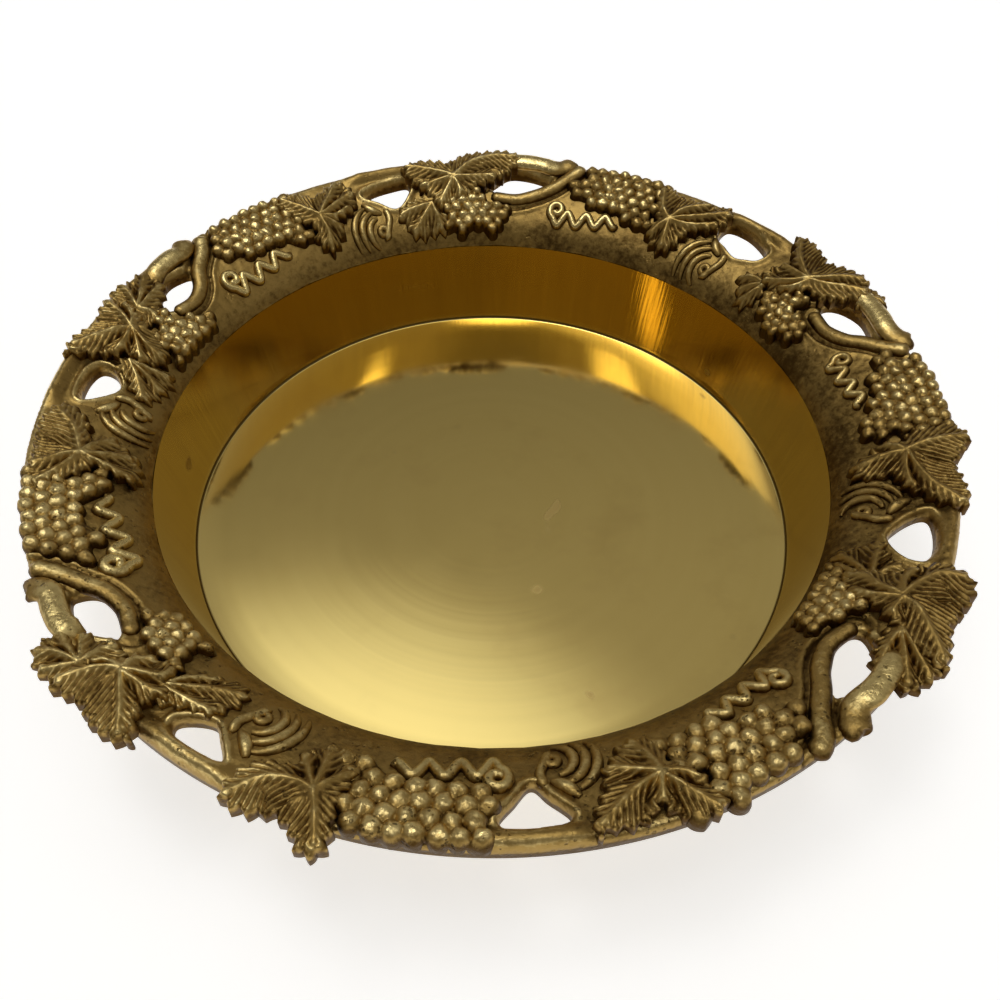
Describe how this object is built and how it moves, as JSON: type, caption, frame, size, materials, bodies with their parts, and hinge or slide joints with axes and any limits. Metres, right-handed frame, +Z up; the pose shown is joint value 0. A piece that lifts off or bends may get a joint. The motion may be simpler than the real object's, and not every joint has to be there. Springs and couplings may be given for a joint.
{
  "type": "trinket dish",
  "caption": "Round footless dish with a smooth bowl and a wide pierced border of vine leaves, grape bunches, tendrils and vine stems.",
  "frame": {"origin": "centre of the flat underside, where the dish rests", "axes": "+Z up through the middle of the bowl; -Y towards the side that is nearest in the picture"},
  "size_m": [0.2176, 0.2246, 0.0436],
  "materials": {
    "polished_brass": "turned and polished",
    "cast_brass": "matt antique cast brass",
    "leaf_brass": "antique cast brass, rubbed bright on ribs and edges",
    "grape_brass": "antique cast brass, rubbed bright on the berries",
    "vine_brass": "antique cast brass, rubbed bright along the top"
  },
  "bodies": {
    "root": {"back_leaf_1": "leaf_brass", "back_leaf_2": "leaf_brass", "back_leaf_3": "leaf_brass", "back_leaf_4": "leaf_brass", "back_leaf_5": "leaf_brass", "border_band": "cast_brass", "bowl_pan": "polished_brass", "curl_tendril_1": "vine_brass", "curl_tendril_2": "vine_brass", "curl_tendril_3": "vine_brass", "curl_tendril_4": "vine_brass", "curl_tendril_5": "vine_brass", "curl_tendril_6": "vine_brass", "cut_twig_1": "vine_brass", "cut_twig_2": "vine_brass", "cut_twig_3": "vine_brass", "cut_twig_4": "vine_brass", "cut_twig_5": "vine_brass", "grape_bunch_1": "grape_brass", "grape_bunch_2": "grape_brass", "grape_bunch_3": "grape_brass", "grape_bunch_4": "grape_brass", "grape_bunch_5": "grape_brass", "grape_bunch_6": "grape_brass", "large_leaf_1": "leaf_brass", "large_leaf_2": "leaf_brass", "large_leaf_3": "leaf_brass", "large_leaf_4": "leaf_brass", "large_leaf_5": "leaf_brass", "single_leaf_1": "leaf_brass", "single_leaf_2": "leaf_brass", "single_leaf_3": "leaf_brass", "single_leaf_4": "leaf_brass", "single_leaf_5": "leaf_brass", "single_leaf_6": "leaf_brass", "small_bunch_1": "grape_brass", "small_bunch_2": "grape_brass", "small_bunch_3": "grape_brass", "small_bunch_4": "grape_brass", "small_bunch_5": "grape_brass", "spiral_tendril_1": "vine_brass", "spiral_tendril_2": "vine_brass", "spiral_tendril_3": "vine_brass", "spiral_tendril_4": "vine_brass", "spiral_tendril_5": "vine_brass", "spiral_tendril_6": "vine_brass", "vine_stem_1": "vine_brass", "vine_stem_2": "vine_brass", "vine_stem_3": "vine_brass", "vine_stem_4": "vine_brass", "vine_stem_5": "vine_brass"}
  },
  "joints": []
}
